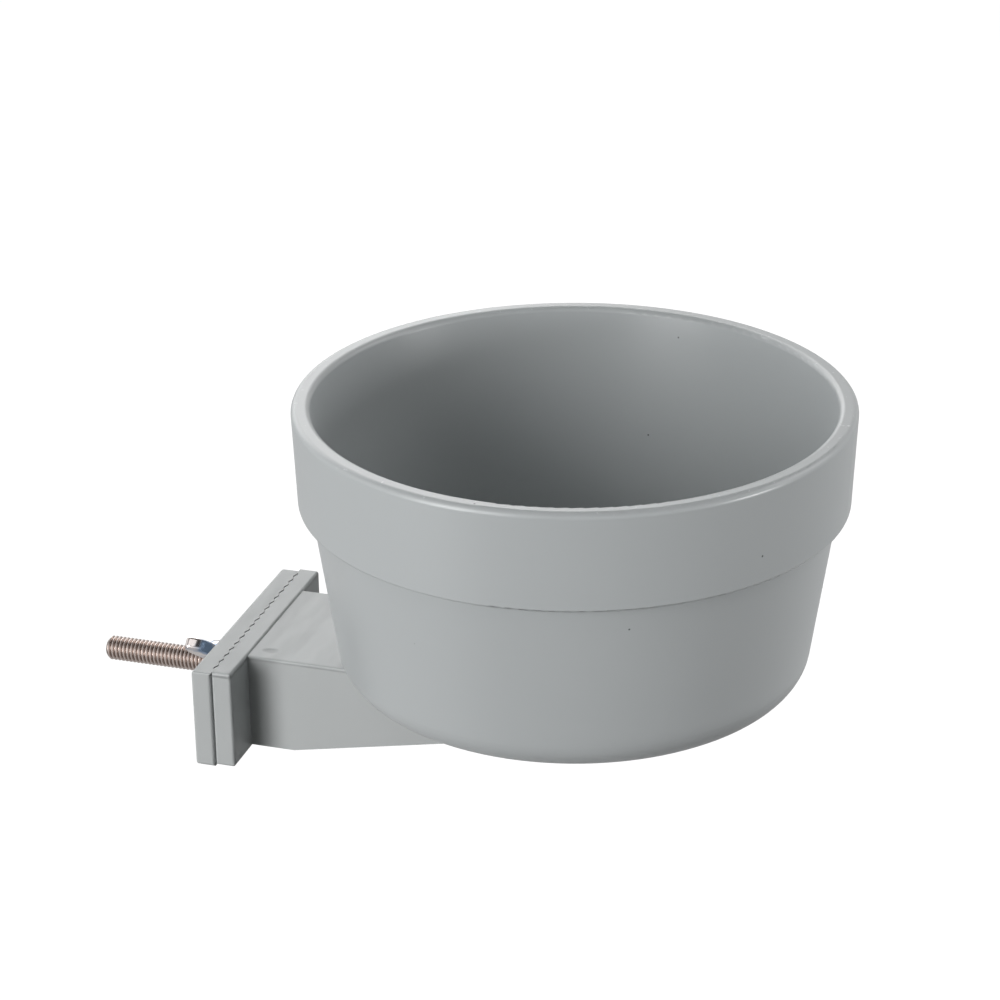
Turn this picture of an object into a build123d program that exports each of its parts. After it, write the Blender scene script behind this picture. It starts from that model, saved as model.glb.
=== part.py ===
from build123d import *
import math
import os

# Seed cup that twists onto a cage clamp. Millimetres, +Z up.
# The origin is on the clamp bolt's axis, at the tooth tips of the bracket's jaw.
# +X points into the cage, from the jaw to the cup, and the bolt's free end points along -X.

# Cup, with radii about its own upright axis and heights above its flat foot
cup_reach = 78.5
cup_height = 65.5
rim_radius = 63.0
rim_wall = 4.25
rim_round = 1.4
band_height = 22.8
band_taper = 0.9
band_step = 2.7
band_round = 0.7
side_taper = 6.1
foot_round = 7.7
side_wall = 4.0
floor_thickness = 3.2
floor_round = 6.0
island_round = 1.5
edge_round = 0.4

# Jaws that grip the cage wires
jaw_length = 58.2
jaw_height = 24.3
jaw_thickness = 4.8
jaw_rise = 13.2
jaw_round = 0.7
jaw_gap = 0.3
tooth_pitch = 3.2
tooth_depth = 0.5
tooth_land = 0.6
clamp_drop = 0.6

# Hollow arm under the cup
arm_width = 37.2
arm_step = 0.4
arm_foot_step = 0.7
arm_flat = 10.7
arm_slope = 11.4
arm_wall = 2.8
arm_skin = 2.8
arm_round = 0.8
rib_spacing = 19.0
rib_thickness = 2.0
rib_depth = 4.0

# Twist lock between the arm and the cup
lock_clearance = 0.3
lock_count = 3
lock_start_angle = 90.0
boss_radius = 14.2
lug_reach = 4.0
lug_thickness = 2.6
lug_angle = 34.0
tab_thickness = 2.4
tab_angle = 50.0

# Clamp bolt, M6 by 45 with a hexagon head
bolt_length = 45.0
bolt_radius = 2.95
neck_radius = 3.0
bolt_neck = 4.0
bolt_tip = 0.8
thread_pitch = 1.0
thread_depth = 0.61
thread_crest = 0.125
thread_flank_angle = 30.0
thread_root_sink = 0.05
head_sides = 6
head_across_flats = 10.0
head_height = 4.0
head_chamfer = 1.2
head_chamfer_height = 0.7
head_clearance = 0.15
head_seat = 0.7
head_pocket_depth = 3.0
head_pocket_wall = 2.2
bolt_hole_clearance = 0.15
clamp_hole_clearance = 0.7

# Wing nut
nut_seat_gap = 0.1
nut_height = 7.5
nut_foot_radius = 6.2
nut_top_radius = 5.0
nut_round = 0.5
nut_root_clearance = 0.16
nut_crest_clearance = 0.1
nut_flank_clearance = 0.08
wing_span = 27.2
wing_height = 10.4
wing_foot = 1.2
wing_root = 4.0
wing_shoulder = 4.6
wing_shoulder_round = 5.0
wing_flare = 0.9
wing_tip = 3.2
wing_tip_round = 1.4
wing_thickness = 3.0
wing_round = 0.7
wing_angle = 137.0

# Levels and places that follow from the sizes above
band_foot_radius = rim_radius - band_taper
body_top_radius = band_foot_radius - band_step
body_foot_radius = body_top_radius - side_taper
jaw_foot = jaw_rise - jaw_height
arm_top = jaw_rise - arm_step
arm_foot = jaw_foot + arm_foot_step
arm_end = cup_reach + arm_width / 2
arm_knee = jaw_thickness + arm_flat
arm_end_foot = arm_foot + (arm_end - arm_knee) * math.tan(math.radians(arm_slope))
cup_base = arm_top + lock_clearance
tab_bore = boss_radius + lock_clearance
socket_radius = boss_radius + lug_reach + lock_clearance
socket_depth = tab_thickness + lug_thickness + 2 * lock_clearance
boss_height = lock_clearance + tab_thickness + lock_clearance + lug_thickness
lug_foot = arm_top + boss_height - lug_thickness
lock_step = 360 / lock_count
stop_gap_angle = math.degrees(lock_clearance / boss_radius)
tooth_count = math.floor(jaw_length / tooth_pitch) - 1
clamp_face = -jaw_gap - jaw_thickness
head_x = jaw_thickness + head_seat
tip_x = head_x - bolt_length
thread_start = head_x - bolt_neck
thread_length = thread_start - tip_x
ridge_length = thread_length - bolt_tip - thread_pitch / 2
thread_slope = math.tan(math.radians(thread_flank_angle))
head_corner_ratio = 1 / math.cos(math.pi / head_sides)
root_radius = bolt_radius - thread_depth
nut_base = clamp_face - nut_seat_gap


# The cup is one turned shape: outside wall with its wider band, rim, inside wall,
# floor, and a raised island over the socket of the twist lock
cup_foot = Plane((cup_reach, 0, cup_base))
cup_section = Plane(origin=(cup_reach, 0, cup_base), x_dir=(1, 0, 0), z_dir=(0, -1, 0))
island_radius = socket_radius + floor_thickness
island_top = socket_depth + floor_thickness
band_foot = cup_height - band_height

with BuildPart() as seed_cup:
    with BuildSketch(cup_section):
        with BuildLine():
            outline = FilletPolyline(
                (0, socket_depth),
                (socket_radius, socket_depth),
                (socket_radius, 0),
                (body_foot_radius, 0),
                (body_top_radius, band_foot),
                (band_foot_radius, band_foot),
                (rim_radius, cup_height),
                (rim_radius - rim_wall, cup_height),
                (body_foot_radius - side_wall, floor_thickness),
                (island_radius, floor_thickness),
                (island_radius, island_top),
                (0, island_top),
                radius=[
                    edge_round,
                    edge_round,
                    foot_round,
                    band_round,
                    band_round,
                    rim_round,
                    rim_round,
                    floor_round,
                    island_round,
                    island_round,
                ],
            )
            Line(outline @ 1, outline @ 0)
        make_face()
    revolve(axis=Axis((cup_reach, 0, 0), (0, 0, 1)))
    # Tabs around the socket's mouth, which the bracket's lugs slide over
    with BuildSketch(cup_foot):
        for turn in range(lock_count):
            middle = lock_start_angle + turn * lock_step
            with BuildLine():
                inner = CenterArc((0, 0), tab_bore, middle - tab_angle / 2, tab_angle)
                outer = CenterArc((0, 0), socket_radius + edge_round, middle - tab_angle / 2, tab_angle)
                Line(inner @ 0, outer @ 0)
                Line(inner @ 1, outer @ 1)
            make_face()
    extrude(amount=tab_thickness)
    # Upright stops at one end of the tabs, which end the twist
    with BuildSketch(cup_foot):
        for turn in range(lock_count):
            stop_start = lock_start_angle + turn * lock_step + lug_angle / 2 + stop_gap_angle
            stop_angle = (tab_angle - lug_angle) / 2 - stop_gap_angle
            with BuildLine():
                inner = CenterArc((0, 0), tab_bore, stop_start, stop_angle)
                outer = CenterArc((0, 0), socket_radius + edge_round, stop_start, stop_angle)
                Line(inner @ 0, outer @ 0)
                Line(inner @ 1, outer @ 1)
            make_face()
    extrude(amount=socket_depth + edge_round)
seed_cup.part.label = "seed_cup"


# The bracket is one moulding: toothed jaw, hollow arm open below, and the lock's boss and lugs
tooth_mouth = tooth_pitch - tooth_land
jaw_middle = jaw_rise - jaw_height / 2
head_pocket_radius = (head_across_flats / 2 + head_clearance) * head_corner_ratio

with BuildPart() as cup_bracket:
    # Arm seen from the side, with its foot rising towards the cup
    with BuildSketch(Plane.XZ):
        with BuildLine():
            Polyline(
                (jaw_thickness / 2, arm_foot),
                (arm_knee, arm_foot),
                (arm_end, arm_end_foot),
                (arm_end, arm_top),
                (jaw_thickness / 2, arm_top),
                close=True,
            )
        make_face()
    extrude(amount=arm_width / 2, both=True)
    # Arm seen from above, round at the end under the cup
    with BuildSketch(Plane.XY.offset(arm_foot)):
        with Locations((cup_reach / 2, 0)):
            Rectangle(cup_reach, arm_width)
        with Locations((cup_reach, 0)):
            Circle(arm_width / 2)
    extrude(amount=arm_top - arm_foot, mode=Mode.INTERSECT)
    top_edges = faces().sort_by(Axis.Z)[-1].edges()
    fillet(top_edges.sort_by(Axis.X)[1:], radius=arm_round)
    # Boss of the twist lock, standing on the arm
    with BuildSketch(Plane((cup_reach, 0, arm_top - arm_skin))):
        Circle(boss_radius)
    extrude(amount=arm_skin + boss_height)
    # Hollow inside the arm and the boss, open from below
    with BuildSketch(Plane.XY.offset(arm_foot)):
        with Locations(((jaw_thickness + cup_reach) / 2, 0)):
            Rectangle(cup_reach - jaw_thickness, arm_width - 2 * arm_wall)
        with Locations((cup_reach, 0)):
            Circle(arm_width / 2 - arm_wall)
    extrude(amount=arm_top - arm_skin - arm_foot, mode=Mode.SUBTRACT)
    with BuildSketch(Plane((cup_reach, 0, arm_foot))):
        Circle(boss_radius - arm_wall)
    extrude(amount=arm_top + boss_height - arm_skin - arm_foot, mode=Mode.SUBTRACT)
    # Two ribs under the arm's top
    rib_end = cup_reach - boss_radius
    with BuildSketch(Plane.XY.offset(arm_top - arm_skin - rib_depth)):
        with Locations(((jaw_thickness + rib_end) / 2, 0)):
            with GridLocations(0, rib_spacing, 1, 2):
                Rectangle(rib_end - jaw_thickness, rib_thickness)
    extrude(amount=rib_depth)
    # Lugs round the top of the boss
    with BuildSketch(Plane((cup_reach, 0, lug_foot))):
        for turn in range(lock_count):
            middle = lock_start_angle + turn * lock_step
            with BuildLine():
                inner = CenterArc((0, 0), boss_radius - arm_wall, middle - lug_angle / 2, lug_angle)
                outer = CenterArc((0, 0), boss_radius + lug_reach, middle - lug_angle / 2, lug_angle)
                Line(inner @ 0, outer @ 0)
                Line(inner @ 1, outer @ 1)
            make_face()
    extrude(amount=lug_thickness)
    # Jaw plate
    with BuildPart(mode=Mode.PRIVATE) as bracket_jaw:
        with Locations((jaw_thickness / 2, 0, jaw_middle)):
            Box(jaw_thickness, jaw_length, jaw_height)
        # The toothed face stays sharp along its top and foot
        sharp_edges = bracket_jaw.faces().sort_by(Axis.X)[0].edges().filter_by(Axis.Y)
        fillet(bracket_jaw.edges() - sharp_edges, radius=jaw_round)
        with BuildSketch(Plane.XY.offset(jaw_foot)):
            with GridLocations(0, tooth_pitch, 1, tooth_count):
                Polygon((0, -tooth_mouth / 2), (tooth_depth, 0), (0, tooth_mouth / 2), align=None)
        extrude(amount=jaw_height, mode=Mode.SUBTRACT)
    add(bracket_jaw.part)
    # Seat for the bolt's head inside the arm, with its hole and its six-sided pocket
    with BuildSketch(Plane.YZ.offset(jaw_thickness / 2)):
        Circle(head_pocket_radius + head_pocket_wall)
    extrude(amount=head_x + head_pocket_depth - jaw_thickness / 2)
    with BuildSketch(Plane.YZ.offset(head_x)):
        RegularPolygon(head_pocket_radius, head_sides)
    extrude(amount=head_pocket_depth, mode=Mode.SUBTRACT)
    with BuildSketch(Plane.YZ):
        Circle(neck_radius + bolt_hole_clearance)
    extrude(amount=head_x, mode=Mode.SUBTRACT)
cup_bracket.part.label = "cup_bracket"


# The loose jaw hangs on the bolt by its oversize hole, a little lower than the bracket's jaw
with BuildPart() as clamp_plate:
    with Locations((clamp_face + jaw_thickness / 2, 0, jaw_middle - clamp_drop)):
        Box(jaw_thickness, jaw_length, jaw_height)
    sharp_edges = clamp_plate.faces().sort_by(Axis.X)[-1].edges().filter_by(Axis.Y)
    fillet(clamp_plate.edges() - sharp_edges, radius=jaw_round)
    with BuildSketch(Plane.XY.offset(jaw_foot - clamp_drop)):
        with Locations((-jaw_gap, 0)):
            with GridLocations(0, tooth_pitch, 1, tooth_count):
                Polygon((0, -tooth_mouth / 2), (-tooth_depth, 0), (0, tooth_mouth / 2), align=None)
    extrude(amount=jaw_height, mode=Mode.SUBTRACT)
    with BuildSketch(Plane.YZ.offset(clamp_face)):
        with Locations((0, -clamp_drop)):
            Circle(bolt_radius + clamp_hole_clearance)
    extrude(amount=jaw_thickness, mode=Mode.SUBTRACT)
clamp_plate.part.label = "clamp_plate"


# The bolt: hexagon head in the bracket's pocket, short plain neck, rolled thread to a tapered tip
thread_root_half = thread_crest / 2 + (thread_depth + thread_root_sink) * thread_slope
head_corner = head_across_flats / 2 * head_corner_ratio
head_end = head_x + head_height

with BuildPart() as clamp_bolt:
    with BuildLine():
        bolt_helix = Helix(
            thread_pitch,
            ridge_length,
            root_radius,
            center=(thread_start, 0, 0),
            direction=(-1, 0, 0),
        )
    ridge_start = bolt_helix @ 0
    ridge_out = Vector(0, ridge_start.Y, ridge_start.Z)
    with BuildSketch(Plane(origin=ridge_start, x_dir=ridge_out, z_dir=bolt_helix % 0)):
        with BuildLine():
            Polyline(
                (-thread_root_sink, -thread_root_half),
                (thread_depth, -thread_crest / 2),
                (thread_depth, thread_crest / 2),
                (-thread_root_sink, thread_root_half),
                close=True,
            )
        make_face()
    sweep(path=bolt_helix, is_frenet=True)
    with BuildSketch(Plane.YZ.offset(tip_x)):
        Circle(root_radius)
    extrude(amount=thread_length)
    chamfer(faces().sort_by(Axis.X)[0].edges(), length=bolt_tip)
    with BuildSketch(Plane.YZ.offset(thread_start)):
        Circle(neck_radius)
    extrude(amount=bolt_neck)
    with BuildSketch(Plane.YZ.offset(head_x)):
        RegularPolygon(head_corner, head_sides)
    extrude(amount=head_height)
    # Turned chamfer round the head's outer face
    with BuildSketch(Plane.XZ):
        with BuildLine():
            Polyline(
                (head_end, head_corner - head_chamfer),
                (head_end, head_corner + head_chamfer),
                (head_end - 2 * head_chamfer_height, head_corner + head_chamfer),
                close=True,
            )
        make_face()
    revolve(axis=Axis.X, mode=Mode.SUBTRACT)
clamp_bolt.part.label = "clamp_bolt"


# The wing nut: tapered hub, two flared wings, and a thread that runs on the bolt's
nut_bore = bolt_radius + nut_crest_clearance
nut_crest_radius = root_radius + nut_root_clearance
nut_thread_depth = nut_bore - nut_crest_radius
groove_half = thread_crest / 2 + nut_flank_clearance - nut_crest_clearance * thread_slope
nut_root_half = thread_pitch / 2 - groove_half + thread_root_sink * thread_slope
nut_crest_half = thread_pitch / 2 - groove_half - nut_thread_depth * thread_slope
# The nut's ridge lies midway between two turns of the bolt's, just inside the nut's foot
nut_first_turn = math.ceil((thread_start - nut_base + nut_root_half) / thread_pitch - 1 / 2)
nut_thread_start = thread_start - (nut_first_turn + 1 / 2) * thread_pitch
nut_thread_length = nut_thread_start - nut_root_half - (nut_base - nut_height)

with BuildPart() as wing_nut:
    with BuildSketch(Plane.XZ):
        with BuildLine():
            nut_outline = FilletPolyline(
                (nut_base, 0),
                (nut_base, nut_foot_radius),
                (nut_base - nut_height, nut_top_radius),
                (nut_base - nut_height, 0),
                radius=[nut_round, nut_round],
            )
            Line(nut_outline @ 1, nut_outline @ 0)
        make_face()
    revolve(axis=Axis.X)
    for side in range(2):
        angle = math.radians(wing_angle + side * 180)
        wing_plane = Plane(
            origin=(nut_base, 0, 0),
            x_dir=(-1, 0, 0),
            z_dir=(0, math.sin(angle), -math.cos(angle)),
        )
        with BuildPart(mode=Mode.PRIVATE) as wing:
            with BuildSketch(wing_plane):
                with BuildLine():
                    FilletPolyline(
                        (wing_foot, wing_root),
                        (wing_shoulder, wing_span / 2 - wing_flare),
                        (wing_height - wing_flare, wing_span / 2),
                        (wing_height, wing_span / 2 - wing_tip),
                        (nut_height - wing_foot, wing_root),
                        radius=[0, wing_shoulder_round, wing_tip_round, wing_tip_round, 0],
                        close=True,
                    )
                make_face()
            extrude(amount=wing_thickness / 2, both=True)
            wing_sides = wing.faces().sort_by(Axis((0, 0, 0), wing_plane.z_dir))
            fillet(wing_sides[0].edges() + wing_sides[-1].edges(), radius=wing_round)
        add(wing.part)
    with BuildSketch(Plane.YZ.offset(nut_base)):
        Circle(nut_bore)
    extrude(amount=-nut_height, mode=Mode.SUBTRACT)
    with BuildLine():
        nut_helix = Helix(
            thread_pitch,
            nut_thread_length,
            nut_bore,
            center=(nut_thread_start, 0, 0),
            direction=(-1, 0, 0),
        )
    nut_ridge_start = nut_helix @ 0
    nut_ridge_out = Vector(0, nut_ridge_start.Y, nut_ridge_start.Z)
    with BuildSketch(Plane(origin=nut_ridge_start, x_dir=nut_ridge_out, z_dir=nut_helix % 0)):
        with BuildLine():
            Polyline(
                (thread_root_sink, -nut_root_half),
                (-nut_thread_depth, -nut_crest_half),
                (-nut_thread_depth, nut_crest_half),
                (thread_root_sink, nut_root_half),
                close=True,
            )
        make_face()
    sweep(path=nut_helix, is_frenet=True)
wing_nut.part.label = "wing_nut"


os.makedirs("parts", exist_ok=True)
export_step(seed_cup.part, "parts/seed_cup.step")
export_step(cup_bracket.part, "parts/cup_bracket.step")
export_step(clamp_plate.part, "parts/clamp_plate.step")
export_step(clamp_bolt.part, "parts/clamp_bolt.step")
export_step(wing_nut.part, "parts/wing_nut.step")
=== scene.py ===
# Seed cup on a cage clamp: the looks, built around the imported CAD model, in metres
import bpy
import math
from mathutils import Matrix, Vector


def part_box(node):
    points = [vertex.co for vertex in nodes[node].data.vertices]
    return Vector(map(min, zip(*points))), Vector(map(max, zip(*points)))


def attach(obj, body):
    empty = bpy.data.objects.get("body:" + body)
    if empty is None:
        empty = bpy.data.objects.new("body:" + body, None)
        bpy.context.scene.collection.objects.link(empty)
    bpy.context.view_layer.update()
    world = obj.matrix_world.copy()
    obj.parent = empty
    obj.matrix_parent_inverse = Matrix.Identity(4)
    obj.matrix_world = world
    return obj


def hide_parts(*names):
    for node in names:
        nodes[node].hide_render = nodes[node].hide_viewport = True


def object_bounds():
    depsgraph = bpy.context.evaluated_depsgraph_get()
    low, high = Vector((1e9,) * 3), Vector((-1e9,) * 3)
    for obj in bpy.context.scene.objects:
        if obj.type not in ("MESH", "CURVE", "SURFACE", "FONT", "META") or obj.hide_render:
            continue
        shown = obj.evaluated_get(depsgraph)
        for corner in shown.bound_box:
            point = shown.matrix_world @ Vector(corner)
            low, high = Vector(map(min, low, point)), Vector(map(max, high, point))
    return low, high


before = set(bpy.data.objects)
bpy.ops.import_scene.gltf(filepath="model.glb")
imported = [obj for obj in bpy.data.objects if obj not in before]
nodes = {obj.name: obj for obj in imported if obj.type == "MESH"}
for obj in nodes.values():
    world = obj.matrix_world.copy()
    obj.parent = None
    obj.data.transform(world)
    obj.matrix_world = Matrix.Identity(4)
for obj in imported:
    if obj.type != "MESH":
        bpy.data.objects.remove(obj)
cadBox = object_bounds()
mm = 0.001
print("frame: loaded", len(nodes), "CAD nodes")


def linear(hexColour):
    # sRGB hex to the linear colour that shaders take
    parts = [int(hexColour[i:i + 2], 16) / 255 for i in (1, 3, 5)]
    return [c / 12.92 if c <= 0.04045 else ((c + 0.055) / 1.055) ** 2.4 for c in parts] + [1.0]


def addNode(tree, kind, inputs={}, **settings):
    # sockets in inputs are linked, anything else is set as a value
    node = tree.nodes.new(kind)
    for name, value in settings.items():
        setattr(node, name, value)
    for name, value in inputs.items():
        if isinstance(value, bpy.types.NodeSocket):
            tree.links.new(value, node.inputs[name])
        else:
            node.inputs[name].default_value = value
    return node


def newMaterial(name):
    material = bpy.data.materials.new(name)
    material.use_nodes = True
    material.node_tree.nodes.clear()
    return material, material.node_tree


def perMetre(sizeMm):
    # texture scale for a pattern whose repeat is this many millimetres
    return 1 / (sizeMm * mm)


# Moulding grade ABS from a polished steel tool: even grey right through, soft gloss,
# faint flow clouds, orange peel too shallow to see except in reflections, a few dark
# specks from the pellets, and paler patches on the rim top, part scuffs and part painted
# highlight. Sizes in all finishes are millimetres
cupFinish = {
    "grey": "#b4b8b9", "flowGrey": "#b0b4b5", "speck": "#4b4e4f", "scuffAndHighlight": "#d3d6d6",
    "roughness": 0.34, "roughnessSwing": 0.05, "ior": 1.53,
    "flowSize": 31.0, "peelSize": 1.7, "peelHeight": 0.006, "grainSize": 0.35, "grainHeight": 0.0012,
    "speckSpacing": 13.0, "speckRadius": 0.32, "speckCore": 0.5,
    "scuffSize": 1.3, "scuffBreakUp": 0.7, "scuffDepth": 0.9, "scuffFrom": 0.64, "scuffTo": 0.7,
}


def cupPlastic():
    f = cupFinish
    material, tree = newMaterial("mouldedAbsGloss")
    place = addNode(tree, "ShaderNodeTexCoord").outputs["Object"]
    flow = addNode(tree, "ShaderNodeTexNoise",
                   {"Vector": place, "Scale": perMetre(f["flowSize"]), "Detail": 3.0})
    flowColour = addNode(tree, "ShaderNodeMix",
                         {0: flow.outputs["Fac"], 6: linear(f["grey"]), 7: linear(f["flowGrey"])},
                         data_type="RGBA")
    # specks: small balls at scattered points, cut by the surface
    dots = addNode(tree, "ShaderNodeTexVoronoi",
                   {"Vector": place, "Scale": perMetre(f["speckSpacing"])})
    reach = f["speckRadius"] / f["speckSpacing"]
    speck = addNode(tree, "ShaderNodeMapRange",
                    {"Value": dots.outputs["Distance"], "From Min": reach,
                     "From Max": reach * f["speckCore"]})
    speckColour = addNode(tree, "ShaderNodeMix",
                          {0: speck.outputs["Result"], 6: flowColour.outputs[2], 7: linear(f["speck"])},
                          data_type="RGBA")
    # scuffs and painted highlight: broken paler patches in the top millimetre of the rim
    height = addNode(tree, "ShaderNodeSeparateXYZ", {"Vector": place}).outputs["Z"]
    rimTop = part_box("seed_cup")[1].z
    rim = addNode(tree, "ShaderNodeMapRange",
                  {"Value": height, "From Min": rimTop - f["scuffDepth"] * mm, "From Max": rimTop})
    wear = addNode(tree, "ShaderNodeTexNoise",
                   {"Vector": place, "Scale": perMetre(f["scuffSize"]), "Detail": 4.0,
                    "Roughness": f["scuffBreakUp"]})
    scuffAndHighlight = addNode(tree, "ShaderNodeMapRange",
                    {"Value": wear.outputs["Fac"], "From Min": f["scuffFrom"], "From Max": f["scuffTo"]})
    rimScuffAndHighlight = addNode(tree, "ShaderNodeMath",
                       {0: rim.outputs["Result"], 1: scuffAndHighlight.outputs["Result"]}, operation="MULTIPLY")
    # the rim's paler patches are part scuff, part painted highlight
    colour = addNode(tree, "ShaderNodeMix",
                     {0: rimScuffAndHighlight.outputs[0], 6: speckColour.outputs[2], 7: linear(f["scuffAndHighlight"])},
                     data_type="RGBA")
    # gloss drifts a little with the flow
    gloss = addNode(tree, "ShaderNodeMapRange",
                    {"Value": flow.outputs["Fac"], "To Min": f["roughness"] - f["roughnessSwing"],
                     "To Max": f["roughness"] + f["roughnessSwing"]})
    peel = addNode(tree, "ShaderNodeTexNoise",
                   {"Vector": place, "Scale": perMetre(f["peelSize"]), "Detail": 1.0})
    grain = addNode(tree, "ShaderNodeTexNoise",
                    {"Vector": place, "Scale": perMetre(f["grainSize"]), "Detail": 1.0})
    peelBump = addNode(tree, "ShaderNodeBump",
                       {"Height": peel.outputs["Fac"], "Distance": f["peelHeight"] * mm})
    grainBump = addNode(tree, "ShaderNodeBump",
                        {"Height": grain.outputs["Fac"], "Distance": f["grainHeight"] * mm,
                         "Normal": peelBump.outputs["Normal"]})
    shader = addNode(tree, "ShaderNodeBsdfPrincipled",
                     {"Base Color": colour.outputs[2], "Roughness": gloss.outputs["Result"],
                      "IOR": f["ior"], "Normal": grainBump.outputs["Normal"]})
    addNode(tree, "ShaderNodeOutputMaterial", {"Surface": shader.outputs[0]})
    return material


# The same ABS from a plainer tool: satin, with shallow sink waves over the hollow arm
# and one small dent beside the jaw, darkened with painted shade
bracketFinish = {
    "grey": "#b7baba", "flowGrey": "#b1b4b4",
    "roughness": 0.42, "roughnessSwing": 0.05, "ior": 1.53, "specular": 0.35,
    "flowSize": 17.0, "grainSize": 0.4, "grainHeight": 0.002,
    "sinkSize": 6.0, "sinkAlong": 0.4, "sinkHeight": 0.75, "sinkTop": 12.0, "sinkFade": 0.6,
    "dentPlace": (9.2, -14.3, 12.8), "dentSize": (2.6, 1.5, 2.0), "dentDepth": 0.25,
    "dentCore": 0.2, "dentShade": "#7b7e7f", "dentShadeShown": 0.5,
}


def bracketPlastic():
    f = bracketFinish
    material, tree = newMaterial("mouldedAbsSatin")
    place = addNode(tree, "ShaderNodeTexCoord").outputs["Object"]
    flow = addNode(tree, "ShaderNodeTexNoise",
                   {"Vector": place, "Scale": perMetre(f["flowSize"]), "Detail": 3.0})
    colour = addNode(tree, "ShaderNodeMix",
                     {0: flow.outputs["Fac"], 6: linear(f["grey"]), 7: linear(f["flowGrey"])},
                     data_type="RGBA")
    gloss = addNode(tree, "ShaderNodeMapRange",
                    {"Value": flow.outputs["Fac"], "To Min": f["roughness"] - f["roughnessSwing"],
                     "To Max": f["roughness"] + f["roughnessSwing"]})
    # sink waves only on the arm's top
    height = addNode(tree, "ShaderNodeSeparateXYZ", {"Vector": place}).outputs["Z"]
    armTop = addNode(tree, "ShaderNodeMapRange",
                     {"Value": height, "From Min": f["sinkTop"] * mm,
                      "From Max": (f["sinkTop"] + f["sinkFade"]) * mm})
    drawn = addNode(tree, "ShaderNodeVectorMath",
                    {0: place, 1: (1, f["sinkAlong"], 1)}, operation="MULTIPLY")
    waves = addNode(tree, "ShaderNodeTexNoise",
                    {"Vector": drawn.outputs[0], "Scale": perMetre(f["sinkSize"]), "Detail": 1.5})
    sink = addNode(tree, "ShaderNodeMath",
                   {0: waves.outputs["Fac"], 1: armTop.outputs["Result"]}, operation="MULTIPLY")
    sinkBump = addNode(tree, "ShaderNodeBump",
                       {"Height": sink.outputs[0], "Distance": f["sinkHeight"] * mm})
    # the dent: a stretched ball of influence round one point, with painted shade in it
    near = addNode(tree, "ShaderNodeVectorMath",
                   {0: place, 1: [c * mm for c in f["dentPlace"]]}, operation="SUBTRACT")
    stretched = addNode(tree, "ShaderNodeVectorMath",
                        {0: near.outputs[0], 1: [c * mm for c in f["dentSize"]]}, operation="DIVIDE")
    distance = addNode(tree, "ShaderNodeVectorMath", {0: stretched.outputs[0]}, operation="LENGTH")
    dent = addNode(tree, "ShaderNodeMapRange",
                   {"Value": distance.outputs["Value"], "From Min": f["dentCore"], "From Max": 1.0},
                   interpolation_type="SMOOTHSTEP")
    # painted shade: the dent's colour darkens towards its middle
    dentUnshaded = addNode(tree, "ShaderNodeMapRange",
                    {"Value": dent.outputs["Result"], "To Min": 1 - f["dentShadeShown"]})
    dentColour = addNode(tree, "ShaderNodeMix",
                         {0: dentUnshaded.outputs["Result"], 6: linear(f["dentShade"]), 7: colour.outputs[2]},
                         data_type="RGBA")
    dentBump = addNode(tree, "ShaderNodeBump",
                       {"Height": dent.outputs["Result"], "Distance": f["dentDepth"] * mm,
                        "Normal": sinkBump.outputs["Normal"]})
    grain = addNode(tree, "ShaderNodeTexNoise",
                    {"Vector": place, "Scale": perMetre(f["grainSize"]), "Detail": 1.0})
    grainBump = addNode(tree, "ShaderNodeBump",
                        {"Height": grain.outputs["Fac"], "Distance": f["grainHeight"] * mm,
                         "Normal": dentBump.outputs["Normal"]})
    shader = addNode(tree, "ShaderNodeBsdfPrincipled",
                     {"Base Color": dentColour.outputs[2], "Roughness": gloss.outputs["Result"],
                      "IOR": f["ior"], "Specular IOR Level": f["specular"],
                      "Normal": grainBump.outputs["Normal"]})
    addNode(tree, "ShaderNodeOutputMaterial", {"Surface": shader.outputs[0]})
    return material


# Nickel plated steel with a rolled thread: warm and a little dull, with painted shade
# darkening it from the crests down into the roots
boltFinish = {
    "crest": "#cfc2bc", "root": "#978a83", "stain": "#a99d97",
    "crestRadius": 2.95, "rootRadius": 2.3, "roughness": 0.33, "roughnessSwing": 0.06,
    "stainSize": 3.0, "stainFrom": 0.5, "stainTo": 0.75, "stainMost": 0.6,
}


def boltSteel():
    f = boltFinish
    material, tree = newMaterial("nickelPlatedSteel")
    place = addNode(tree, "ShaderNodeTexCoord").outputs["Object"]
    across = addNode(tree, "ShaderNodeVectorMath", {0: place, 1: (0, 1, 1)}, operation="MULTIPLY")
    radius = addNode(tree, "ShaderNodeVectorMath", {0: across.outputs[0]}, operation="LENGTH")
    # painted shade: the thread is darker the nearer a point lies to the root radius
    depth = addNode(tree, "ShaderNodeMapRange",
                    {"Value": radius.outputs["Value"], "From Min": f["rootRadius"] * mm,
                     "From Max": f["crestRadius"] * mm})
    thread = addNode(tree, "ShaderNodeMix",
                     {0: depth.outputs["Result"], 6: linear(f["root"]), 7: linear(f["crest"])},
                     data_type="RGBA")
    stain = addNode(tree, "ShaderNodeTexNoise",
                    {"Vector": place, "Scale": perMetre(f["stainSize"]), "Detail": 4.0})
    patches = addNode(tree, "ShaderNodeMapRange",
                      {"Value": stain.outputs["Fac"], "From Min": f["stainFrom"],
                       "From Max": f["stainTo"], "To Max": f["stainMost"]})
    colour = addNode(tree, "ShaderNodeMix",
                     {0: patches.outputs["Result"], 6: thread.outputs[2], 7: linear(f["stain"])},
                     data_type="RGBA")
    gloss = addNode(tree, "ShaderNodeMapRange",
                    {"Value": stain.outputs["Fac"], "To Min": f["roughness"] - f["roughnessSwing"],
                     "To Max": f["roughness"] + f["roughnessSwing"]})
    shader = addNode(tree, "ShaderNodeBsdfPrincipled",
                     {"Base Color": colour.outputs[2], "Roughness": gloss.outputs["Result"],
                      "Metallic": 1.0})
    addNode(tree, "ShaderNodeOutputMaterial", {"Surface": shader.outputs[0]})
    return material


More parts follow.
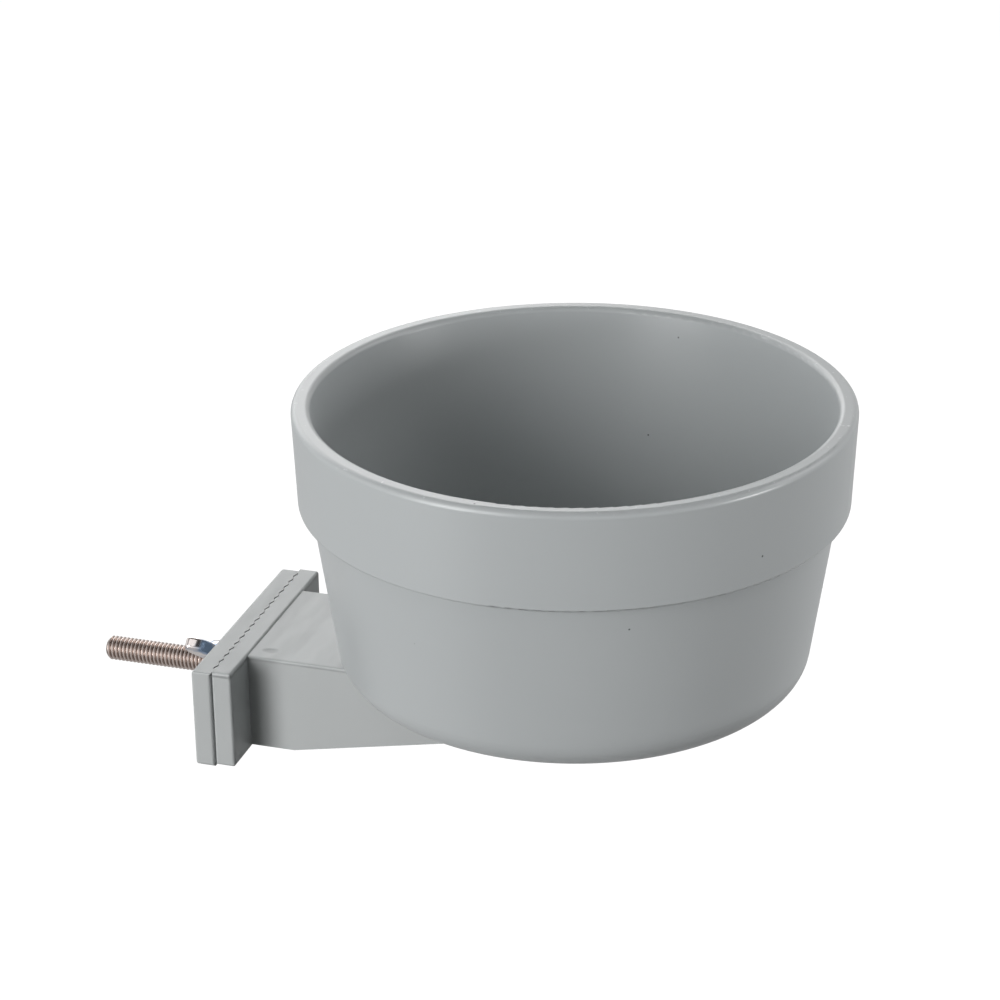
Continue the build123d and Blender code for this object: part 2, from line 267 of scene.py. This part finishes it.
# Zinc plate over a casting, passivated in patches from pinkish white to blue, softly uneven
nutFinish = {
    "zinc": "#ddd5d2", "blue": "#8497b0", "roughness": 0.16, "roughnessSwing": 0.06,
    "patchSize": 5.0, "patchFrom": 0.42, "patchTo": 0.6, "castSize": 2.2, "castHeight": 0.03,
}


def nutZinc():
    f = nutFinish
    material, tree = newMaterial("bluePassivatedZinc")
    place = addNode(tree, "ShaderNodeTexCoord").outputs["Object"]
    cast = addNode(tree, "ShaderNodeTexNoise",
                   {"Vector": place, "Scale": perMetre(f["castSize"]), "Detail": 3.0})
    patches = addNode(tree, "ShaderNodeTexNoise",
                      {"Vector": place, "Scale": perMetre(f["patchSize"]), "Detail": 2.0})
    passivated = addNode(tree, "ShaderNodeMapRange",
                         {"Value": patches.outputs["Fac"], "From Min": f["patchFrom"],
                          "From Max": f["patchTo"]})
    colour = addNode(tree, "ShaderNodeMix",
                     {0: passivated.outputs["Result"], 6: linear(f["zinc"]), 7: linear(f["blue"])},
                     data_type="RGBA")
    gloss = addNode(tree, "ShaderNodeMapRange",
                    {"Value": cast.outputs["Fac"], "To Min": f["roughness"] - f["roughnessSwing"],
                     "To Max": f["roughness"] + f["roughnessSwing"]})
    bump = addNode(tree, "ShaderNodeBump",
                   {"Height": cast.outputs["Fac"], "Distance": f["castHeight"] * mm})
    shader = addNode(tree, "ShaderNodeBsdfPrincipled",
                     {"Base Color": colour.outputs[2], "Roughness": gloss.outputs["Result"],
                      "Metallic": 1.0, "Normal": bump.outputs["Normal"]})
    addNode(tree, "ShaderNodeOutputMaterial", {"Surface": shader.outputs[0]})
    return material


cupAbs = cupPlastic()
bracketAbs = bracketPlastic()
plated = boltSteel()
zincPlated = nutZinc()
nodes["seed_cup"].material_slots[0].material = cupAbs
nodes["cup_bracket"].material_slots[0].material = bracketAbs
nodes["clamp_plate"].material_slots[0].material = bracketAbs
print("materials: plastic on the CAD nodes")


# millimetres and degrees: closer points are merged, thinner faces dissolved, flatter edges shaded smooth
meshCare = {"weld": 0.002, "sliver": 0.001, "smoothAngle": 40}


def deselect():
    if bpy.context.object and bpy.context.object.mode != "OBJECT":
        bpy.ops.object.mode_set(mode="OBJECT")
    bpy.ops.object.select_all(action="DESELECT")


def drawLine(name, points, fill=False):
    # one vertex, extruded from point to point, in millimetres on the XY plane
    deselect()
    bpy.ops.mesh.primitive_plane_add(size=mm)
    piece = bpy.context.object
    piece.name = name
    corners = [Vector((x, y, 0)) * mm for x, y in points]
    bpy.ops.object.mode_set(mode="EDIT")
    bpy.ops.mesh.merge(type="CENTER")
    bpy.ops.transform.translate(value=corners[0])
    for here, there in zip(corners, corners[1:]):
        bpy.ops.mesh.extrude_vertices_move(TRANSFORM_OT_translate={"value": there - here})
    if fill:
        bpy.ops.mesh.select_all(action="SELECT")
        bpy.ops.mesh.edge_face_add()
    bpy.ops.object.mode_set(mode="OBJECT")
    return piece


def lathe(name, points, steps):
    # an outline turned about the bolt's axis, which is X
    piece = drawLine(name, points)
    bpy.ops.object.mode_set(mode="EDIT")
    bpy.ops.mesh.select_all(action="SELECT")
    bpy.ops.mesh.spin(steps=steps, angle=2 * math.pi, center=(0, 0, 0), axis=(1, 0, 0))
    bpy.ops.mesh.select_all(action="SELECT")
    bpy.ops.mesh.remove_doubles(threshold=meshCare["weld"] * mm)
    bpy.ops.mesh.normals_make_consistent(inside=False)
    bpy.ops.object.mode_set(mode="OBJECT")
    return piece


def applyModifier(piece, kind, **settings):
    deselect()
    piece.select_set(True)
    bpy.context.view_layer.objects.active = piece
    modifier = piece.modifiers.new(kind.lower(), kind)
    for name, value in settings.items():
        setattr(modifier, name, value)
    bpy.ops.object.modifier_apply(modifier=modifier.name)


def combine(piece, other, operation):
    applyModifier(piece, "BOOLEAN", object=other, operation=operation, solver="EXACT")
    bpy.data.objects.remove(other)


def finishPiece(piece, body, material, node):
    deselect()
    piece.select_set(True)
    bpy.context.view_layer.objects.active = piece
    bpy.ops.object.mode_set(mode="EDIT")
    bpy.ops.mesh.select_all(action="SELECT")
    bpy.ops.mesh.dissolve_degenerate(threshold=meshCare["sliver"] * mm)
    bpy.ops.object.mode_set(mode="OBJECT")
    bpy.ops.object.shade_smooth_by_angle(angle=math.radians(meshCare["smoothAngle"]))
    piece.data.materials.clear()
    piece.data.materials.append(material)
    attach(piece, body)
    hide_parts(node)


# M6 rolled thread, shared by the bolt and the tap that cuts the nut
thread = {
    "pitch": 1.0, "crestRadius": 2.95, "rootRadius": 2.34, "crestFlat": 0.26, "rootFlat": 0.16,
    "crestRound": 0.05, "crestDrop": 0.08, "turnSteps": 48, "startX": 2.5, "tapClearance": 0.12,
}


def threadedRod(name, endX, grow):
    t = thread
    crest, root = t["crestRadius"] + grow, t["rootRadius"] + grow
    soft, drop = t["crestRound"], t["crestDrop"]
    flank = (t["pitch"] - t["crestFlat"] - t["rootFlat"]) / 2
    crestStart = t["rootFlat"] / 2 + flank
    across = [(0, root), (t["rootFlat"] / 2, root + soft / 2), (crestStart - soft, crest - drop),
              (crestStart + t["crestFlat"] / 2, crest),
              (crestStart + t["crestFlat"] + soft, crest - drop),
              (t["pitch"] - t["rootFlat"] / 2, root + soft / 2), (t["pitch"], root)]
    rod = drawLine(name, [(t["startX"] - along, radius) for along, radius in across])
    turns = math.ceil((t["startX"] - endX) / t["pitch"]) + 1
    # turned backwards as it moves along -X, which makes a right-hand thread
    applyModifier(rod, "SCREW", axis="X", screw_offset=-t["pitch"] * mm, angle=-2 * math.pi,
                  steps=t["turnSteps"], render_steps=t["turnSteps"], iterations=turns)
    bpy.ops.object.mode_set(mode="EDIT")
    bpy.ops.mesh.select_all(action="SELECT")
    bpy.ops.mesh.remove_doubles(threshold=meshCare["weld"] * mm)
    bpy.ops.mesh.select_all(action="DESELECT")
    bpy.ops.mesh.select_non_manifold()
    bpy.ops.mesh.fill_holes(sides=0)
    bpy.ops.mesh.select_all(action="SELECT")
    bpy.ops.mesh.normals_make_consistent(inside=False)
    bpy.ops.object.mode_set(mode="OBJECT")
    return rod


# Hexagon head bolt: thread with a chamfered start, plain neck, chamfered head
boltShape = {
    "tipRadius": 2.0, "tipLength": 0.9, "neckFrom": 1.5, "neckRadius": 3.0, "headFrom": 5.5,
    "headSides": 6, "chamferAcross": 1.2, "chamferAlong": 1.4, "sides": 48,
    "stockSpare": 0.02, "overlap": 0.5, "turnedSpare": 1.0,
}


def makeBolt():
    b = boltShape
    low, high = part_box("clamp_bolt")
    tipX, headEnd, headCorner = low.x / mm, high.x / mm, high.y / mm
    wide = thread["crestRadius"] + b["stockSpare"]
    bolt = threadedRod("clampBolt", tipX, 0)
    stockEnd = b["neckFrom"] + b["overlap"]
    stock = lathe("boltStock", [(tipX, 0), (tipX, b["tipRadius"]), (tipX + b["tipLength"], wide),
                                (stockEnd, wide), (stockEnd, 0)], b["sides"])
    combine(bolt, stock, "INTERSECT")
    neckEnd = b["headFrom"] + b["overlap"]
    neck = lathe("boltNeck", [(b["neckFrom"], 0), (b["neckFrom"], b["neckRadius"]),
                              (neckEnd, b["neckRadius"]), (neckEnd, 0)], b["sides"])
    combine(bolt, neck, "UNION")
    deselect()
    bpy.ops.mesh.primitive_cylinder_add(
        vertices=b["headSides"], radius=headCorner * mm, depth=(headEnd - b["headFrom"]) * mm,
        location=((headEnd + b["headFrom"]) / 2 * mm, 0, 0), rotation=(0, math.pi / 2, 0))
    head = bpy.context.object
    bpy.ops.object.transform_apply(location=True, rotation=True, scale=True)
    wideHead = headCorner + b["chamferAcross"]
    turnedFrom = b["headFrom"] - b["turnedSpare"]
    turned = lathe("headChamfer", [(turnedFrom, 0), (turnedFrom, wideHead),
                                   (headEnd - b["chamferAlong"], wideHead),
                                   (headEnd, headCorner - b["chamferAcross"]), (headEnd, 0)], b["sides"])
    combine(head, turned, "INTERSECT")
    combine(bolt, head, "UNION")
    finishPiece(bolt, "bracket", plated, "clamp_bolt")
    return bolt


# Wing nut, cast: tapered hub and two ears, melted together, then tapped.
# Ear corners are (height above the seat, distance from the axis), and the outer three are rounded
nutShape = {
    "footRadius": 6.2, "topRadius": 5.0, "hubHeight": 7.5, "sides": 64,
    "earCorners": [(1.2, 4.0), (4.6, 12.8), (9.5, 13.7), (10.5, 10.4), (6.3, 4.0)],
    "earRounds": {1: 2.6, 2: 1.0, 3: 1.2}, "roundSteps": 8, "earThick": 3.1, "earTurns": (135, 315),
    "edgeRound": 0.7, "edgeSteps": 3, "edgeAngle": 60,
    "castVoxel": 0.17, "castSoften": 8, "castSoftenBy": 0.5, "tapSpare": 6.0,
}


def makeNut():
    n = nutShape
    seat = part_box("wing_nut")[1].x / mm
    hubTop = seat - n["hubHeight"]
    hub = lathe("wingNut", [(seat, 0), (seat, n["footRadius"]),
                            (hubTop, n["topRadius"]), (hubTop, 0)], n["sides"])
    ear = drawLine("nutEar", [(seat - up, out) for up, out in n["earCorners"]], fill=True)
    for corner in sorted(n["earRounds"], reverse=True):
        up, out = n["earCorners"][corner]
        place = Vector((seat - up, out, 0)) * mm
        for part in (ear.data.polygons, ear.data.edges, ear.data.vertices):
            for item in part:
                item.select = False
        min(ear.data.vertices, key=lambda v: (v.co - place).length).select = True
        bpy.ops.object.mode_set(mode="EDIT")
        bpy.ops.mesh.bevel(offset=n["earRounds"][corner] * mm, segments=n["roundSteps"],
                           affect="VERTICES")
        bpy.ops.object.mode_set(mode="OBJECT")
    bpy.ops.object.mode_set(mode="EDIT")
    bpy.ops.mesh.select_all(action="SELECT")
    bpy.ops.transform.translate(value=(0, 0, -n["earThick"] / 2 * mm))
    bpy.ops.mesh.extrude_region_move(TRANSFORM_OT_translate={"value": (0, 0, n["earThick"] * mm)})
    bpy.ops.mesh.select_all(action="SELECT")
    bpy.ops.mesh.normals_make_consistent(inside=False)
    bpy.ops.object.mode_set(mode="OBJECT")
    applyModifier(ear, "BEVEL", width=n["edgeRound"] * mm, segments=n["edgeSteps"],
                  limit_method="ANGLE", angle_limit=math.radians(n["edgeAngle"]))
    for turned in n["earTurns"]:
        deselect()
        copy = ear.copy()
        copy.data = ear.data.copy()
        bpy.context.scene.collection.objects.link(copy)
        copy.rotation_euler = (math.radians(turned), 0, 0)
        copy.select_set(True)
        bpy.context.view_layer.objects.active = copy
        bpy.ops.object.transform_apply(location=True, rotation=True, scale=True)
        combine(hub, copy, "UNION")
    bpy.data.objects.remove(ear)
    applyModifier(hub, "REMESH", mode="VOXEL", voxel_size=n["castVoxel"] * mm)
    applyModifier(hub, "SMOOTH", factor=n["castSoftenBy"], iterations=n["castSoften"])
    tap = threadedRod("nutTap", hubTop - n["tapSpare"], thread["tapClearance"])
    combine(hub, tap, "DIFFERENCE")
    finishPiece(hub, "nut", zincPlated, "wing_nut")
    return hub


for piece in (makeBolt(), makeNut()):
    print("piece:", piece.name, len(piece.data.polygons), "faces")


# Camera, as the photo was taken: the rim's centre lies off the middle of the frame
photoCamera = {
    "lens": 102.65, "sensor": 36.0,
    "azimuth": 17.45, "elevation": 23.94, "roll": -0.55,
    "rimRight": 16.48, "rimUp": 22.65, "rimAhead": 633.4,
}

turn = (Matrix.Rotation(math.radians(photoCamera["azimuth"]), 4, "Z")
        @ Matrix.Rotation(math.radians(90 - photoCamera["elevation"]), 4, "X")
        @ Matrix.Rotation(math.radians(photoCamera["roll"]), 4, "Z"))
cupLow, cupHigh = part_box("seed_cup")
rimCentre = Vector(((cupLow.x + cupHigh.x) / 2, (cupLow.y + cupHigh.y) / 2, cupHigh.z))
rimSeen = turn @ Vector((photoCamera["rimRight"], photoCamera["rimUp"], -photoCamera["rimAhead"])) * mm
bpy.ops.object.select_all(action="DESELECT")
bpy.ops.object.camera_add()
camera = bpy.context.object
camera.name = "photoCamera"
camera.data.lens = photoCamera["lens"]
camera.data.sensor_width = photoCamera["sensor"]
camera.matrix_world = Matrix.Translation(rimCentre - rimSeen) @ turn
bpy.context.scene.camera = camera


# Studio: white room to look at, soft boxes to light by.
# Each box: azimuth from the camera and elevation in degrees, watts, side in metres
studio = {
    "floorDrop": 0.24, "floorSize": 8.0, "floorGrey": "#565656", "floorShown": 1.0,
    "floorMirrored": 0.5, "wallMirrored": 1.0, "ambient": 0.025,
    "ceilingMirrored": 0.06, "ceilingFrom": 0.45, "ceilingTo": 0.8,
    "aim": (0.06, 0.0, 0.035), "boxDistance": 1.4,
    "boxes": {
        "keyFrontLeft": (-45, 17, 11.7, 0.7),
        "lowFrontLeft": (-52, -6, 7.6, 0.5),
        "highLeft": (-45, 58, 2.4, 0.8),
        "lowRight": (69, 2, 8.3, 0.3),
        "right": (103, 33, 4.6, 0.8),
        "backLeft": (-160, 30, 8.2, 1.1),
        "back": (170, 40, 2.0, 0.7),
    },
    "cardDistance": 0.12, "cardTop": 0.018, "cardWidth": 0.3, "cardHeight": 0.25, "cardBlack": "#060606",
}

bpy.ops.mesh.primitive_plane_add(size=studio["floorSize"],
                                 location=(0, 0, cadBox[0].z - studio["floorDrop"]))
floor = bpy.context.object
floor.name = "studioFloor"
floorPaper, tree = newMaterial("paleStudioPaper")
rays = addNode(tree, "ShaderNodeLightPath").outputs
mirrored = addNode(tree, "ShaderNodeMath",
                   {0: rays["Is Glossy Ray"], 1: rays["Is Transmission Ray"]}, operation="MAXIMUM")
mirrorGlow = addNode(tree, "ShaderNodeMath",
                     {0: mirrored.outputs[0], 1: studio["floorMirrored"]}, operation="MULTIPLY")
glow = addNode(tree, "ShaderNodeMath", {0: rays["Is Camera Ray"], 1: studio["floorShown"],
                                        2: mirrorGlow.outputs[0]}, operation="MULTIPLY_ADD")
paper = addNode(tree, "ShaderNodeBsdfDiffuse", {"Color": linear(studio["floorGrey"])})
light = addNode(tree, "ShaderNodeEmission", {"Strength": glow.outputs[0]})
both = addNode(tree, "ShaderNodeAddShader", {0: paper.outputs[0], 1: light.outputs[0]})
# seen from below, the floor lets the view through
under = addNode(tree, "ShaderNodeNewGeometry").outputs["Backfacing"]
clear = addNode(tree, "ShaderNodeBsdfTransparent")
sided = addNode(tree, "ShaderNodeMixShader", {0: under, 1: both.outputs[0], 2: clear.outputs[0]})
addNode(tree, "ShaderNodeOutputMaterial", {"Surface": sided.outputs[0]})
floor.data.materials.append(floorPaper)

# the room is white to the camera; reflections also find its darker ceiling
room = bpy.data.worlds.new("whiteRoom")
bpy.context.scene.world = room
room.use_nodes = True
tree = room.node_tree
tree.nodes.clear()
rays = addNode(tree, "ShaderNodeLightPath").outputs
way = addNode(tree, "ShaderNodeTexCoord").outputs["Generated"]
upwards = addNode(tree, "ShaderNodeSeparateXYZ", {"Vector": way}).outputs["Z"]
mirrorSky = addNode(tree, "ShaderNodeMapRange",
                    {"Value": upwards, "From Min": studio["ceilingFrom"],
                     "From Max": studio["ceilingTo"], "To Min": studio["wallMirrored"],
                     "To Max": studio["ceilingMirrored"]})
mirrored = addNode(tree, "ShaderNodeMath",
                   {0: rays["Is Glossy Ray"], 1: rays["Is Transmission Ray"]}, operation="MAXIMUM")
lightSky = addNode(tree, "ShaderNodeMix", {0: mirrored.outputs[0], 2: studio["ambient"],
                                           3: mirrorSky.outputs["Result"]})
level = addNode(tree, "ShaderNodeMix", {0: rays["Is Camera Ray"], 2: lightSky.outputs[0], 3: 1.0})
sky = addNode(tree, "ShaderNodeBackground", {"Color": (1, 1, 1, 1), "Strength": level.outputs[0]})
addNode(tree, "ShaderNodeOutputWorld", {"Surface": sky.outputs[0]})

for name, (azimuth, elevation, power, side) in studio["boxes"].items():
    a = math.radians(azimuth + photoCamera["azimuth"])
    e = math.radians(elevation)
    out = Vector((math.sin(a) * math.cos(e), -math.cos(a) * math.cos(e), math.sin(e)))
    bpy.ops.object.light_add(type="AREA", location=Vector(studio["aim"]) + out * studio["boxDistance"])
    box = bpy.context.object
    box.name = name
    box.data.size = side
    box.data.energy = power
    box.rotation_euler = out.to_track_quat("Z", "Y").to_euler()

# a black card, out of sight, keeps the low box on the right from shining onto the jaw
cardTurn = math.radians(studio["boxes"]["lowRight"][0] + photoCamera["azimuth"])
cardOut = Vector((math.sin(cardTurn), -math.cos(cardTurn), 0))
cardPlace = Vector(studio["aim"]) + cardOut * studio["cardDistance"]
cardPlace.z = studio["cardTop"] - studio["cardHeight"] / 2
bpy.ops.mesh.primitive_plane_add(size=1, location=cardPlace, rotation=(math.pi / 2, 0, cardTurn))
card = bpy.context.object
card.name = "blackCard"
card.scale = (studio["cardWidth"], studio["cardHeight"], 1)
card.visible_camera = False
card.visible_glossy = False
cardBlack, tree = newMaterial("blackCardPaper")
matt = addNode(tree, "ShaderNodeBsdfDiffuse", {"Color": linear(studio["cardBlack"])})
addNode(tree, "ShaderNodeOutputMaterial", {"Surface": matt.outputs[0]})
card.data.materials.append(cardBlack)
print("studio: floor, room, card and", len(studio["boxes"]), "soft boxes")

bpy.context.scene.view_settings.view_transform = "Standard"
